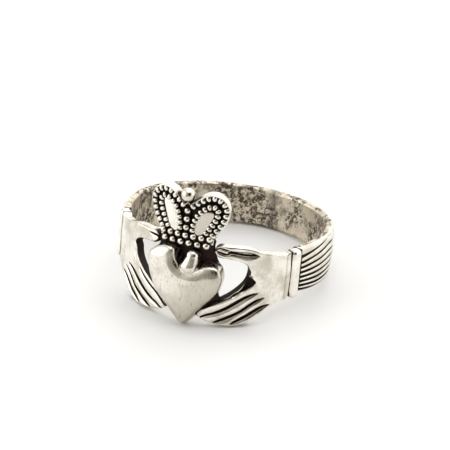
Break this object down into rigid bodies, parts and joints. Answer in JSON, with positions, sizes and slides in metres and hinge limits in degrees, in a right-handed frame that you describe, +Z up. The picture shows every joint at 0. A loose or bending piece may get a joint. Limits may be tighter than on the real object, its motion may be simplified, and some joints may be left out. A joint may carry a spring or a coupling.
{
  "type": "claddagh ring",
  "caption": "Cast silver finger ring with two hands holding a crowned heart, beaded crown, folded sleeves and a plain shank.",
  "frame": {"origin": "middle of the finger hole, at mid height of the plain shank", "axes": "+Z up as the ring lies on a surface, -Y towards the heart, +X to the right of someone who looks at the heart; the finger hole's axis leans back from +Z by the angle at which the ring rests"},
  "size_m": [0.021, 0.0226, 0.0135],
  "materials": {
    "silver": "polished silver with blackened recesses and a mottled tarnish inside the band"
  },
  "bodies": {
    "root": {"ring": "silver"}
  },
  "joints": []
}
